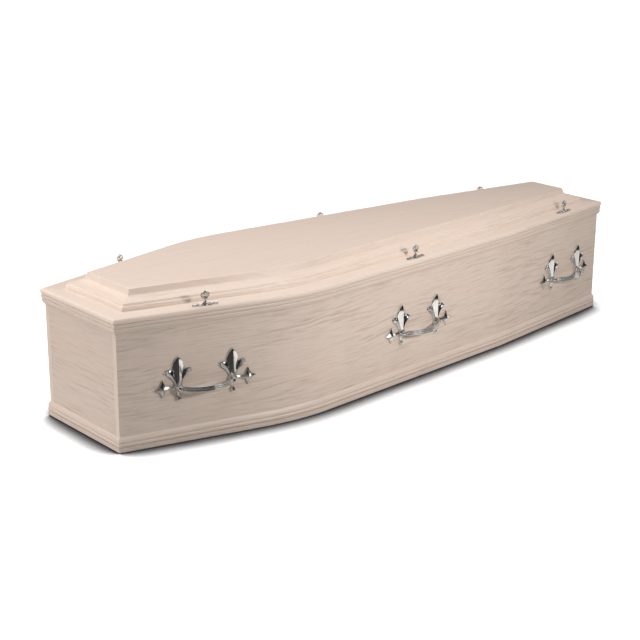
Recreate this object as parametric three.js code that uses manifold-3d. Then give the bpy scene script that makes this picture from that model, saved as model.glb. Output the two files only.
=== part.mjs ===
// A limed-oak coffin with kerf-bent shoulders, reeded mouldings, a raised lid that rests on the walls,
// six bar handles on fleur-de-lis plates and six thumbscrews that hold the lid.
// Millimetres, +Z up. The head end is at -X and the foot end at +X. The origin is on the floor,
// in the middle of the coffin's length and width.
import * as THREE from "three";
import { mergeVertices } from "three/addons/utils/BufferGeometryUtils.js";
import Module from "manifold-3d";

const wasm = await Module();
wasm.setup();

// Plan of the box, over the faces of its walls
const bodyLength = 1930;
const headWidth = 344;
const shoulderWidth = 594;
const kneeWidth = 448;
const footWidth = 290;
const shoulderFromHead = 504;
const kneeFromFoot = 540;
const shoulderBendRadius = 700;
const kneeBendRadius = 500;
const shoulderFacets = 5;
const kneeFacets = 1;

// Boards of the box
const baseThickness = 14.5;
const baseOverhang = 5.5;
const baseEdgeRound = 4.5;
const sideHeight = 338;
const sideThickness = 16;
const endThickness = 16;
const jointClearance = 0.3;

// Reeded moulding, a bead and a reed, used round the top and, smaller and upside down, round the base
const mouldingHeight = 28.5;
const reedHeight = 11.5;
const corniceProjection = 8;
const plinthProjection = 6;

// Lid: a border board, a stepped frame on it and a raised panel on that
const borderThickness = 14.5;
const borderOverhang = 9.5;
const borderInset = 74;
const stepInset = 43;
const stepHeight = 9.5;
const ledgeWidth = 8;
const ledgeRise = 3;
const secondStepHeight = 5.5;
const slopeWidth = 36;
const slopeRise = 10;
const frameSeat = 13;
const panelThickness = 17;
const panelEdgeLean = 4.5;
const panelEdgeRadius = 3;

// Handles: each is a reeded bar between two cast plates, sized from the middle of a plate's boss
const handleHeight = 157;
const plateSpacing = 154;
const headHandleFromShoulder = 277;
const middleHandleFromShoulder = 487;
const footHandleFromFoot = 194;
const leafHeight = 84;
const leafWidth = 34;
const leafRidge = 13;
const petalReach = 34;
const petalHeight = 43;
const lilyReach = 67;
const lilyLobe = 22;
const lilyRidge = 7;
const bossRadius = 13;
const ballRadius = 7.5;
const ballStandoff = 14;
const knobDrop = 30;
const knobRadius = 6.5;
const knobDepth = 6.5;
const barHeight = 15.4;
const barDepth = 8.4;
const barEndAngle = THREE.MathUtils.degToRad(42);
const barStations = 6;

// Thumbscrews in their plates, on the lid's border over the middle of the walls
const screwPlateLength = 72;
const screwPlateThickness = 2.5;
const screwHubRadius = 8.5;
const socketHeight = 9;
const socketBore = 3.8;
const beadRadius = 3.2;
const neckRadius = 2;
const shankRadius = 2.4;
const shankClearance = 0.5;
const shankIntoWall = 24;
const neckHeight = 11;
const cupHeight = 6;
const thumbWidth = 24;
const thumbHeight = 17;
const thumbThickness = 3.6;
const screwedDown = 8; // the screws on the left side are this much further down
// How far the head, middle and foot screws stand from the middle of their handles, towards the foot
const rightScrewShift = [7, -10, -6];
const leftScrewShift = [47, 51, -45];

// Heights that follow
const wallTop = baseThickness + sideHeight;
const borderTop = wallTop + borderThickness;
const frameHeight = stepHeight + ledgeRise + secondStepHeight + slopeRise;
const frameTop = borderTop + frameHeight;
const panelInset = stepInset + ledgeWidth + slopeWidth;

// Colours of the finishes, for a plain view of the model
function wood(colour) {
  return new THREE.MeshStandardMaterial({ color: colour, roughness: 0.6, metalness: 0 });
}
const sideOak = wood(0xcabdaf);
const lidOak = wood(0xdccdbd);
const mouldingOak = wood(0xd6c6b8);
const nickel = new THREE.MeshStandardMaterial({ color: 0xc9c6c2, roughness: 0.15, metalness: 1 });

// Plan geometry. The right side of the box (y < 0) is three straight stretches that meet at the
// shoulder and the knee, where the board is bent to a radius. The left side is its mirror image.
const halfLength = bodyLength / 2;
const corners = [
  new THREE.Vector2(-halfLength, -headWidth / 2),
  new THREE.Vector2(-halfLength + shoulderFromHead, -shoulderWidth / 2),
  new THREE.Vector2(halfLength - kneeFromFoot, -kneeWidth / 2),
  new THREE.Vector2(halfLength, -footWidth / 2),
];
const stretches = [0, 1, 2].map((i) => {
  const along = corners[i + 1].clone().sub(corners[i]).normalize();
  return { start: corners[i], end: corners[i + 1], along, out: new THREE.Vector2(along.y, -along.x) };
});

// The y of a stretch's face, moved outwards by a distance, at a given x
function faceY(stretch, outwards, x) {
  const p = stretch.start.clone().addScaledVector(stretch.out, outwards);
  return p.y + ((x - p.x) * stretch.along.y) / stretch.along.x;
}

// Points round the bend between two stretches, at a distance outside the board's face
function bend(before, after, radius, facets, outwards) {
  const spread = before.out.clone().add(after.out).divideScalar(1 + before.out.dot(after.out));
  const centre = after.start.clone().addScaledVector(spread, -radius);
  const from = before.out.angle();
  const turn = after.out.angle() - from;
  const points = [];
  for (let i = 0; i <= facets; i++) {
    const angle = from + (turn * i) / facets;
    const reach = radius + outwards;
    points.push(new THREE.Vector2(centre.x + reach * Math.cos(angle), centre.y + reach * Math.sin(angle)));
  }
  return points;
}

// The right side's path from head to foot at a distance outside the faces of the box
function sidePath(outwards, endOutwards = outwards) {
  const [head, middle, foot] = stretches;
  const headX = -halfLength - endOutwards;
  const footX = halfLength + endOutwards;
  return [
    new THREE.Vector2(headX, faceY(head, outwards, headX)),
    ...bend(head, middle, shoulderBendRadius, shoulderFacets, outwards),
    ...bend(middle, foot, kneeBendRadius, kneeFacets, outwards),
    new THREE.Vector2(footX, faceY(foot, outwards, footX)),
  ];
}

function mirrored(points) {
  return points.map((p) => new THREE.Vector2(p.x, -p.y)).reverse();
}

function outline(outwards) {
  const right = sidePath(outwards);
  return [...right, ...mirrored(right)];
}

function endPath(outwards, which) {
  const path = sidePath(outwards);
  const corner = which === "head" ? path[0] : path[path.length - 1];
  return [corner, new THREE.Vector2(corner.x, -corner.y)];
}

// A skin over a row of rings with equal numbers of points, closed at its ends or into a loop.
// The section is the rings' common shape in 2-D, from which the end caps are cut.
function loft(rings, section, loop = false) {
  const count = rings[0].length;
  const triangles = [];
  const spans = loop ? rings.length : rings.length - 1;
  for (let r = 0; r < spans; r++) {
    const a = rings[r];
    const b = rings[(r + 1) % rings.length];
    for (let i = 0; i < count; i++) {
      const j = (i + 1) % count;
      triangles.push([a[i], a[j], b[j]], [a[i], b[j], b[i]]);
    }
  }
  if (!loop) {
    const first = rings[0];
    const last = rings[rings.length - 1];
    for (const [i, j, k] of THREE.ShapeUtils.triangulateShape(section, [])) {
      triangles.push([first[k], first[j], first[i]], [last[i], last[j], last[k]]);
    }
  }
  // The caps follow the section's own winding, so a clockwise section has its caps turned round.
  const clockwise = THREE.ShapeUtils.isClockWise(section);
  const capsFrom = 2 * spans * count;
  if (!loop && clockwise) {
    for (let i = capsFrom; i < triangles.length; i++) triangles[i].reverse();
  }
  let volume = 0;
  for (const [p, q, s] of triangles) volume += p.dot(q.clone().cross(s));
  if (volume < 0) triangles.forEach((t) => t.reverse());
  return new THREE.BufferGeometry().setFromPoints(triangles.flat());
}

// A strip whose profile is drawn as (distance outside the box's face, height)
function strip(profile, pathAt) {
  const paths = profile.map((p) => pathAt(p.x));
  const rings = paths[0].map((_, station) =>
    profile.map((p, i) => new THREE.Vector3(paths[i][station].x, paths[i][station].y, p.y)),
  );
  return loft(rings, profile);
}

// A frame all round the box with the same kind of profile
function frame(profile) {
  const outlines = profile.map((p) => outline(p.x));
  const rings = outlines[0].map((_, station) =>
    profile.map((p, i) => new THREE.Vector3(outlines[i][station].x, outlines[i][station].y, p.y)),
  );
  return loft(rings, profile, true);
}

// A board that follows the box's plan, from levels given as (distance outside the walls, height)
function layered(levels) {
  const rings = levels.map(([out, height]) => outline(out).map((p) => new THREE.Vector3(p.x, p.y, height)));
  return loft(rings, outline(levels[0][0]));
}

// A board cut to a plan, from one height to another
function board(plan, bottom, thickness) {
  const geometry = new THREE.ExtrudeGeometry(new THREE.Shape(plan), {
    depth: thickness,
    bevelEnabled: false,
  });
  return geometry.translate(0, 0, bottom);
}

// Joining and cutting of closed meshes
function solid(geometry) {
  const bare = geometry.clone();
  bare.deleteAttribute("normal");
  bare.deleteAttribute("uv");
  const merged = mergeVertices(bare, 1e-3);
  return new wasm.Manifold(
    new wasm.Mesh({
      numProp: 3,
      vertProperties: merged.attributes.position.array,
      triVerts: new Uint32Array(merged.index.array),
    }),
  );
}

function geometryOf(made) {
  const mesh = made.getMesh();
  const geometry = new THREE.BufferGeometry();
  geometry.setAttribute("position", new THREE.BufferAttribute(mesh.vertProperties, 3));
  geometry.setIndex(new THREE.BufferAttribute(mesh.triVerts, 1));
  return geometry;
}

function joined(geometries) {
  return geometryOf(geometries.map(solid).reduce((whole, next) => whole.add(next)));
}

function cut(geometry, tools) {
  return geometryOf(tools.map(solid).reduce((left, tool) => left.subtract(tool), solid(geometry)));
}

const part = new THREE.Group();

function add(name, geometry, material, parent = part) {
  geometry.computeVertexNormals();
  const mesh = new THREE.Mesh(geometry, material);
  mesh.name = name;
  parent.add(mesh);
  return mesh;
}

// Places along the sides. A station is a stretch and a length from its start at the outer face.
function stretchLength(stretch) {
  return stretch.end.distanceTo(stretch.start);
}
const stations = [
  { name: "head", stretch: 0, from: stretchLength(stretches[0]) - headHandleFromShoulder },
  { name: "middle", stretch: 1, from: middleHandleFromShoulder },
  { name: "foot", stretch: 2, from: stretchLength(stretches[2]) - footHandleFromFoot },
];

// A group at a place on a side, with x along the side, y into the box and z up
function placed(side, stretchIndex, from, outwards, height) {
  const stretch = stretches[stretchIndex];
  const p = stretch.start.clone();
  p.addScaledVector(stretch.along, from).addScaledVector(stretch.out, outwards);
  const angle = stretch.along.angle();
  const group = new THREE.Group();
  group.position.set(p.x, side === "right" ? p.y : -p.y, height);
  group.rotation.z = side === "right" ? angle : Math.PI - angle;
  part.add(group);
  return group;
}

// The thumbscrews' places, down the middle of the walls
const screws = ["right", "left"].flatMap((side) =>
  stations.map((station, i) => ({
    side,
    name: side + "_" + station.name,
    stretch: station.stretch,
    from: station.from + (side === "left" ? leftScrewShift : rightScrewShift)[i],
    lower: side === "left" ? screwedDown : 0,
  })),
);

// A round hole for a screw's shank, drilled down from the border's top
function shankHole(screw) {
  const depth = borderThickness + shankIntoWall + screwedDown + 2;
  const drill = new THREE.CylinderGeometry(shankRadius + shankClearance, shankRadius + shankClearance, depth, 6);
  drill.rotateX(Math.PI / 2);
  const stretch = stretches[screw.stretch];
  const p = stretch.start.clone();
  p.addScaledVector(stretch.along, screw.from).addScaledVector(stretch.out, -sideThickness / 2);
  return drill.translate(p.x, screw.side === "right" ? p.y : -p.y, borderTop + 1 - depth / 2);
}

// The box: a base board, two bent side boards that run its full length, and end boards between them
function baseBoard() {
  return layered([
    [baseOverhang - baseEdgeRound, 0],
    [baseOverhang - 0.3 * baseEdgeRound, 0.3 * baseEdgeRound],
    [baseOverhang, baseEdgeRound],
    [baseOverhang, baseThickness],
  ]);
}

function sideBoard(side) {
  const plan = [...sidePath(0, 0), ...sidePath(-sideThickness, 0).reverse()];
  const holes = screws.filter((screw) => screw.side === side).map(shankHole);
  return cut(board(side === "right" ? plan : mirrored(plan), baseThickness, sideHeight), holes);
}

function endBoard(which) {
  const stretch = which === "head" ? stretches[0] : stretches[2];
  const outer = which === "head" ? -halfLength : halfLength;
  const inner = outer - Math.sign(outer) * endThickness;
  const inset = -sideThickness - jointClearance;
  const plan = [outer, inner].map((x) => new THREE.Vector2(x, faceY(stretch, inset, x)));
  return board([...plan, ...mirrored(plan)], baseThickness, sideHeight);
}

// The moulding's profile, as (distance outside the wall, height) from the board's edge it lies against.
// A reed comes first, then a quirk and a bead that dies into the wall.
function mouldingProfile(projection, start, direction) {
  const beadHeight = mouldingHeight - reedHeight;
  const shape = [
    [0, 0],
    [0.8 * projection, 0],
    [projection, 0.32 * reedHeight],
    [projection, 0.64 * reedHeight],
    [0.66 * projection, reedHeight],
    [0.9 * projection, reedHeight + 0.16 * beadHeight],
    [0.9 * projection, reedHeight + 0.42 * beadHeight],
    [0.62 * projection, reedHeight + 0.74 * beadHeight],
    [0.12 * projection, mouldingHeight],
    [0, mouldingHeight],
  ];
  return shape.map(([out, rise]) => new THREE.Vector2(out, start + direction * rise));
}

function addMouldings(name, projection, start, direction) {
  const profile = mouldingProfile(projection, start, direction);
  add(name + "_right", strip(profile, sidePath), mouldingOak);
  add(name + "_left", strip(profile, (out) => mirrored(sidePath(out))), mouldingOak);
  add(name + "_head", strip(profile, (out) => endPath(out, "head")), mouldingOak);
  add(name + "_foot", strip(profile, (out) => endPath(out, "foot")), mouldingOak);
}

// The lid's border: a flat board with a worked edge and a large opening under the raised panel
function lidBorder() {
  const edge = [
    [borderOverhang - 3.6, borderThickness],
    [borderOverhang - 1, borderThickness - 1.6],
    [borderOverhang, borderThickness - 4.6],
    [borderOverhang - 0.6, borderThickness * 0.34],
    [borderOverhang - 2.9, 0],
  ];
  const profile = [
    ...edge.map(([out, up]) => new THREE.Vector2(out, wallTop + up)),
    new THREE.Vector2(-borderInset, wallTop),
    new THREE.Vector2(-borderInset, borderTop),
  ];
  return cut(frame(profile), screws.map(shankHole));
}

// The stepped frame on the border: an upright step with a rounded ledge, a second small step and a
// hollow slope that ends at the panel, with a flat seat for the panel inside it
function lidFrameProfile() {
  const ledge = stepInset + ledgeWidth;
  const ledgeTop = stepHeight + ledgeRise;
  const slopeFoot = ledgeTop + secondStepHeight;
  const seat = panelInset + frameSeat;
  const shape = [
    [stepInset, 0],
    [stepInset, stepHeight * 0.84],
    [stepInset + ledgeWidth * 0.22, stepHeight + ledgeRise * 0.4],
    [stepInset + ledgeWidth * 0.6, ledgeTop - ledgeRise * 0.15],
    [ledge, ledgeTop],
    [ledge, slopeFoot - 1],
    [ledge + slopeWidth * 0.05, slopeFoot],
    [ledge + slopeWidth * 0.4, slopeFoot + slopeRise * 0.27],
    [ledge + slopeWidth * 0.75, slopeFoot + slopeRise * 0.66],
    [panelInset, frameHeight],
    [seat, frameHeight],
    [seat, 0],
  ];
  return shape.map(([inset, up]) => new THREE.Vector2(-inset, borderTop + up));
}

function addLidFrame() {
  const profile = lidFrameProfile();
  add("lid_frame_right", strip(profile, sidePath), lidOak);
  add("lid_frame_left", strip(profile, (out) => mirrored(sidePath(out))), lidOak);
  add("lid_frame_head", strip(profile, (out) => endPath(out, "head")), lidOak);
  add("lid_frame_foot", strip(profile, (out) => endPath(out, "foot")), lidOak);
}

// The raised panel: a board whose edge leans in all round and is eased at the top
function lidPanel() {
  const top = frameTop + panelThickness;
  return layered([
    [-panelInset, frameTop],
    [-panelInset - panelEdgeLean, top - panelEdgeRadius],
    [-panelInset - panelEdgeLean - 0.3 * panelEdgeRadius, top - 0.3 * panelEdgeRadius],
    [-panelInset - panelEdgeLean - panelEdgeRadius, top],
  ]);
}

// Cast relief: a tapering form along a centre line, with a sharp ridge down its middle.
// Each stop is [x, y, half width, ridge height] on the plate, whose back is at z = 0.
function ridged(stops) {
  const points = stops.map(([x, y]) => new THREE.Vector2(x, y));
  const rings = stops.map(([x, y, half, ridge], i) => {
    const before = points[Math.max(i - 1, 0)];
    const after = points[Math.min(i + 1, points.length - 1)];
    const run = after.clone().sub(before).normalize();
    return [
      new THREE.Vector3(x + run.y * half, y - run.x * half, 0),
      new THREE.Vector3(x, y, ridge),
      new THREE.Vector3(x - run.y * half, y + run.x * half, 0),
    ];
  });
  const section = [new THREE.Vector2(-1, 0), new THREE.Vector2(1, 0), new THREE.Vector2(0, 1)];
  return loft(rings, section);
}

// A turned form that stands on the plate, from (radius, height) points that start and end on its axis
function turned(profile, x, y, sides = 8) {
  const points = profile.map(([radius, height]) => new THREE.Vector2(radius, height));
  const geometry = new THREE.LatheGeometry(points, sides);
  return geometry.rotateX(Math.PI / 2).translate(x, y, 0);
}

// The tall leaf of the fleur-de-lis
function leaf() {
  return ridged([
    [0, 0.12 * leafHeight, 0.1 * leafWidth, 0.6 * leafRidge],
    [0, 0.36 * leafHeight, 0.34 * leafWidth, 0.85 * leafRidge],
    [0, 0.62 * leafHeight, 0.5 * leafWidth, leafRidge],
    [0, 0.8 * leafHeight, 0.34 * leafWidth, 0.75 * leafRidge],
    [0, leafHeight, 0.02 * leafWidth, 0.2 * leafRidge],
  ]);
}

// A petal that curls out beside the leaf
function petal(side) {
  return ridged([
    [side * 0.12 * petalReach, 0.82 * petalHeight, 0.14 * petalReach, 0.5 * leafRidge],
    [side * 0.4 * petalReach, 1.04 * petalHeight, 0.19 * petalReach, 0.6 * leafRidge],
    [side * 0.76 * petalReach, 1.16 * petalHeight, 0.17 * petalReach, 0.5 * leafRidge],
    [side * petalReach, 0.96 * petalHeight, 0.02 * petalReach, 0.15 * leafRidge],
  ]);
}

// The small lily that points along the wall: a stem that ends in a pointed lobe, and a lobe on each side
function lily() {
  const fork = 0.66 * lilyReach;
  const stem = ridged([
    [0.12 * lilyReach, 0, 0.28 * lilyLobe, lilyRidge],
    [0.4 * lilyReach, 0, 0.16 * lilyLobe, 0.8 * lilyRidge],
    [0.84 * lilyReach, 0, 0.24 * lilyLobe, lilyRidge],
    [lilyReach, 0, 0.03 * lilyLobe, 0.3 * lilyRidge],
  ]);
  const lobe = (side) =>
    ridged([
      [fork, 0, 0.28 * lilyLobe, 0.9 * lilyRidge],
      [fork, 0.6 * side * lilyLobe, 0.2 * lilyLobe, 0.7 * lilyRidge],
      [0.96 * fork, side * lilyLobe, 0.03 * lilyLobe, 0.25 * lilyRidge],
    ]);
  return [stem, lobe(1), lobe(-1)];
}

function boss() {
  return turned(
    [
      [0, 0],
      [bossRadius, 0],
      [0.92 * bossRadius, 0.45 * ballStandoff],
      [0.85 * ballRadius, 0.5 * ballStandoff],
      [ballRadius, ballStandoff],
      [0.7 * ballRadius, ballStandoff + 0.7 * ballRadius],
      [0, ballStandoff + ballRadius],
    ],
    0,
    0,
  );
}

function knob() {
  return turned(
    [
      [0, 0],
      [knobRadius, 0],
      [0.75 * knobRadius, knobDepth],
      [0, knobDepth],
    ],
    0,
    -knobDrop,
    6,
  );
}

function knobStem() {
  return ridged([
    [0, -0.38 * knobDrop, 0.7 * knobRadius, 0.8 * knobDepth],
    [0, -0.85 * knobDrop, 0.5 * knobRadius, 0.6 * knobDepth],
  ]);
}

// One plate with its lily towards +x and its bar towards -x
const plateGeometry = joined([boss(), leaf(), petal(1), petal(-1), ...lily(), knobStem(), knob()]);

// The bar bows away from the wall on an arc between the two bosses' balls, and ends square against
// them. Its section has three reeds.
function handleBar() {
  const gap = ballRadius + jointClearance;
  const halfSpan = plateSpacing / 2 - gap * Math.cos(barEndAngle);
  const radius = halfSpan / Math.sin(barEndAngle);
  const endHeight = ballStandoff + gap * Math.sin(barEndAngle);
  const centreHeight = endHeight - radius * Math.cos(barEndAngle);
  const half = barHeight / 2;
  const deep = barDepth / 2;
  const face = [
    [0.4 * deep, -half],
    [0.85 * deep, -0.68 * half],
    [0.62 * deep, -0.34 * half],
    [deep, 0],
    [0.62 * deep, 0.34 * half],
    [0.85 * deep, 0.68 * half],
    [0.4 * deep, half],
  ];
  const back = face.filter((_, i) => i % 2 === 0).reverse();
  const section = [...face, ...back.map(([out, up]) => [-out, up])].map(([x, y]) => new THREE.Vector2(x, y));
  const rings = [];
  for (let i = 0; i <= barStations; i++) {
    const angle = barEndAngle * ((2 * i) / barStations - 1);
    rings.push(
      section.map((p) => {
        const reach = radius + p.x;
        return new THREE.Vector3(reach * Math.sin(angle), p.y, centreHeight + reach * Math.cos(angle));
      }),
    );
  }
  return loft(rings, section);
}

const barGeometry = handleBar();

function addHandle(side, station) {
  const group = placed(side, station.stretch, station.from, jointClearance, handleHeight);
  const upright = new THREE.Group();
  upright.rotation.x = Math.PI / 2;
  group.add(upright);
  const name = side + "_" + station.name;
  add("handle_bar_" + name, barGeometry.clone(), nickel, upright);
  const towardsFoot = side === "right" ? 1 : -1;
  for (const way of [1, -1]) {
    const end = way === towardsFoot ? "footward" : "headward";
    const plate = add("handle_plate_" + name + "_" + end, plateGeometry.clone(), nickel, upright);
    plate.position.x = (way * plateSpacing) / 2;
    plate.scale.x = way;
  }
}

// A screw's plate: a row of round lobes that shrink towards its ends, with a bell-shaped socket
function screwPlate() {
  const half = screwPlateLength / 2;
  const endRadius = 0.16 * half;
  const lobes = [
    [0, screwHubRadius],
    [0.44 * half, 0.19 * half],
    [half - endRadius, endRadius],
  ];
  const waist = 0.09 * half;
  const widthAt = (x) =>
    Math.max(waist, ...lobes.map(([at, r]) => Math.sqrt(Math.max(r * r - (Math.abs(x) - at) ** 2, 0))));
  const stops = [0, 0.26, 0.36, 0.52, 0.65, 0.75, 0.9].map((share) => share * half);
  const edge = [...stops.slice(1).reverse().map((x) => -x), ...stops];
  const upper = edge.map((x) => new THREE.Vector2(x, widthAt(x)));
  const shape = new THREE.Shape([
    new THREE.Vector2(-half, 0),
    ...upper,
    new THREE.Vector2(half, 0),
    ...upper.map((p) => new THREE.Vector2(p.x, -p.y)).reverse(),
  ]);
  const plate = new THREE.ExtrudeGeometry(shape, { depth: screwPlateThickness, bevelEnabled: false });
  const bell = turned(
    [
      [0, 0.3],
      [0.98 * screwHubRadius, 0.3],
      [0.92 * screwHubRadius, 0.5 * socketHeight],
      [1.3 * socketBore, socketHeight],
      [0, socketHeight],
    ],
    0,
    0,
  );
  const bore = new THREE.CylinderGeometry(socketBore, socketBore, 4 * socketHeight, 6).rotateX(Math.PI / 2);
  return cut(joined([plate, bell]), [bore]);
}

// A thumbscrew, with z = 0 at the top of the border: a shank, a neck with a bead, a small cup and an
// open, pointed thumb piece
function thumbscrew() {
  const cupAt = socketHeight + neckHeight - beadRadius;
  const thumbAt = cupAt + 0.5 * cupHeight;
  const stem = turned(
    [
      [0, -borderThickness - shankIntoWall],
      [shankRadius, -borderThickness - shankIntoWall],
      [shankRadius, socketHeight - 0.2 * beadRadius],
      [beadRadius, socketHeight + 0.4 * beadRadius],
      [neckRadius, socketHeight + 1.6 * beadRadius],
      [neckRadius, cupAt],
      [0.3 * thumbWidth, cupAt + 0.5 * cupHeight],
      [0.26 * thumbWidth, cupAt + cupHeight],
      [0, cupAt + cupHeight],
    ],
    0,
    0,
    6,
  );
  const half = thumbWidth / 2;
  const outlinePoints = [
    [0.35 * half, 0],
    [0.8 * half, 0.15 * thumbHeight],
    [half, 0.42 * thumbHeight],
    [0.86 * half, 0.68 * thumbHeight],
    [0.4 * half, 0.84 * thumbHeight],
    [0, thumbHeight],
  ];
  const right = outlinePoints.map(([x, y]) => new THREE.Vector2(x, y));
  const left = right.slice(0, -1).map((p) => new THREE.Vector2(-p.x, p.y));
  const shape = new THREE.Shape([...right, ...left.reverse()]);
  const eye = [
    [-0.62, 0.3],
    [0.62, 0.3],
    [0.68, 0.56],
    [0.24, 0.74],
    [-0.24, 0.74],
    [-0.68, 0.56],
  ];
  shape.holes.push(new THREE.Path(eye.map(([x, y]) => new THREE.Vector2(x * half, y * thumbHeight))));
  const thumb = new THREE.ExtrudeGeometry(shape, { depth: thumbThickness, bevelEnabled: false });
  thumb.translate(0, 0, -thumbThickness / 2).rotateX(Math.PI / 2).translate(0, 0, thumbAt);
  const post = turned(
    [
      [0, cupAt + 0.8 * cupHeight],
      [0.25 * thumbThickness, cupAt + 0.8 * cupHeight],
      [0.6 * thumbThickness, thumbAt + 0.48 * thumbHeight],
      [0.25 * thumbThickness, thumbAt + 0.8 * thumbHeight],
      [0, thumbAt + 0.8 * thumbHeight],
    ],
    0,
    0,
    4,
  );
  return joined([stem, thumb, post]);
}

const screwPlateGeometry = screwPlate();
const thumbscrewGeometry = thumbscrew();

function addScrew(screw) {
  const group = placed(screw.side, screw.stretch, screw.from, -sideThickness / 2, borderTop);
  add("screw_plate_" + screw.name, screwPlateGeometry.clone(), nickel, group);
  const thumb = add("thumbscrew_" + screw.name, thumbscrewGeometry.clone(), nickel, group);
  thumb.position.z = -screw.lower;
}

add("base_board", baseBoard(), mouldingOak);
add("side_board_right", sideBoard("right"), sideOak);
add("side_board_left", sideBoard("left"), sideOak);
add("end_board_head", endBoard("head"), sideOak);
add("end_board_foot", endBoard("foot"), sideOak);
addMouldings("plinth_moulding", plinthProjection, baseThickness, 1);
addMouldings("cornice_moulding", corniceProjection, wallTop, -1);
add("lid_border", lidBorder(), lidOak);
addLidFrame();
add("lid_panel", lidPanel(), lidOak);
for (const side of ["right", "left"]) {
  for (const station of stations) addHandle(side, station);
}
screws.forEach(addScrew);

export default part;
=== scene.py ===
# %% [markdown]
# # A limed-oak coffin
# The coffin is a tapered box with bent shoulders. Its lid carries a raised panel, and its fittings are
# polished nickel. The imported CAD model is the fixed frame: it says how large everything is and where
# it stands. This script dresses it, wood first and then metal, in metres, with the head end at -X.

import math

import bpy
from mathutils import Matrix, Vector


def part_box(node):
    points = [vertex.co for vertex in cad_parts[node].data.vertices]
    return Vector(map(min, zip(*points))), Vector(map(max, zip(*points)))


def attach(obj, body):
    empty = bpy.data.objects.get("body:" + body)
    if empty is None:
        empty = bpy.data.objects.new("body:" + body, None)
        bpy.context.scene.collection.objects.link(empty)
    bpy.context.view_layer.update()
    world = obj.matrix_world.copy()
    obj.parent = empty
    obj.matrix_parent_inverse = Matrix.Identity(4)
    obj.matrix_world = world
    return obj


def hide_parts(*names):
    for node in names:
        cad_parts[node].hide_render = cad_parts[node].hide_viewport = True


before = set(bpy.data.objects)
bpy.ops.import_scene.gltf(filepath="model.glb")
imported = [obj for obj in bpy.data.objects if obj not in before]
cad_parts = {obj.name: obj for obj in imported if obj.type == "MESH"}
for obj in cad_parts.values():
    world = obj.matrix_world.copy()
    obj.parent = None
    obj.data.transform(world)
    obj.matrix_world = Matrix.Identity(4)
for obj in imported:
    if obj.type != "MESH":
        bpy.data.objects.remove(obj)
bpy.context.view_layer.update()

# %% [markdown]
# ## The camera
# The photograph was taken from beyond the head end, over the right side. Its place was worked out from
# the coffin's long parallel edges and its upright corners, so the lens is a mild telephoto and the
# camera is a little above the height of a person's eyes, looking down by 18 degrees.

# %% The camera
CAMERA_PLACE = Vector((-2.869, -3.175, 1.529))
CAMERA_TURN = math.radians(40.74)  # from +Y towards +X
CAMERA_DIP = math.radians(18.28)
CAMERA_ROLL = math.radians(0.28)
LENS = 82.69


def photo_camera():
    ahead = Vector(
        (
            math.sin(CAMERA_TURN) * math.cos(CAMERA_DIP),
            math.cos(CAMERA_TURN) * math.cos(CAMERA_DIP),
            -math.sin(CAMERA_DIP),
        )
    )
    level = Vector((math.cos(CAMERA_TURN), -math.sin(CAMERA_TURN), 0))
    upright = level.cross(ahead)
    right = math.cos(CAMERA_ROLL) * level + math.sin(CAMERA_ROLL) * upright
    up = math.cos(CAMERA_ROLL) * upright - math.sin(CAMERA_ROLL) * level
    camera = bpy.data.cameras.new("photo_camera")
    camera.lens = LENS
    camera.sensor_width = 36
    camera.clip_end = 200
    taker = bpy.data.objects.new("photo_camera", camera)
    turn = Matrix((right, up, -ahead)).transposed()
    taker.matrix_world = Matrix.Translation(CAMERA_PLACE) @ turn.to_4x4()
    bpy.context.collection.objects.link(taker)
    bpy.context.scene.camera = taker
    return taker


photo_camera()
print("camera", round(LENS, 1), "mm lens")

# %% [markdown]
# ## Three helpers for materials
# Every finish here is a network of shader nodes, and three small jobs come back in all of them: to
# stretch a range of values to 0 and 1, to calculate with two values, and to mix two colours. Each
# could be set up by hand every time. A function apiece keeps the finishes short enough to read.

# %% Node helpers
def ranged(nodes, links, source, low, high):
    span = nodes.new("ShaderNodeMapRange")
    span.interpolation_type = "SMOOTHSTEP"
    span.inputs["From Min"].default_value = low
    span.inputs["From Max"].default_value = high
    links.new(source, span.inputs["Value"])
    return span.outputs["Result"]


def calculated(nodes, links, operation, a, b):
    node = nodes.new("ShaderNodeMath")
    node.operation = operation
    for i, value in enumerate((a, b)):
        if isinstance(value, (int, float)):
            node.inputs[i].default_value = value
        else:
            links.new(value, node.inputs[i])
    return node.outputs[0]


def mixed(nodes, links, amount, below, above):
    node = nodes.new("ShaderNodeMix")
    node.data_type = "RGBA"
    links.new(amount, node.inputs["Factor"])
    for name, value in (("A", below), ("B", above)):
        target = [s for s in node.inputs if s.name == name and s.type == "RGBA"][0]
        if isinstance(value, tuple):
            target.default_value = (*value, 1)
        else:
            links.new(value, target)
    return [s for s in node.outputs if s.type == "RGBA"][0]


print("node helpers", ranged.__name__, calculated.__name__, mixed.__name__)

# %% [markdown]
# ## The studio floor
# The photograph is a catalogue picture on white, with a short dark shade where the box meets the
# floor. So the floor is white to the eye, and a painted shade, drawn from how closed-in each spot is,
# darkens its colour only close under the edge. It is grey to light that bounces, because a real white
# floor would wash out the shade under the mouldings. Polished metal mirrors it too, and its leaves are
# dark towards the head and bright towards the foot. So mirrored rays see a painted reflection on the
# floor: grey near the box, pale like paper further out along the sides, and dark like a room past the
# head and far away.

# %% Floor
bpy.context.scene.view_settings.view_transform = "Standard"
FLOOR_REACH = 60
FLOOR_SEEN = (0.94, 0.94, 0.95)
# Painted contact shade: the floor's colour right under the box's edge.
FLOOR_PAINTED_CONTACT_SHADE = (0.02, 0.02, 0.022)
FLOOR_BOUNCED = (0.36, 0.355, 0.35)
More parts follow.
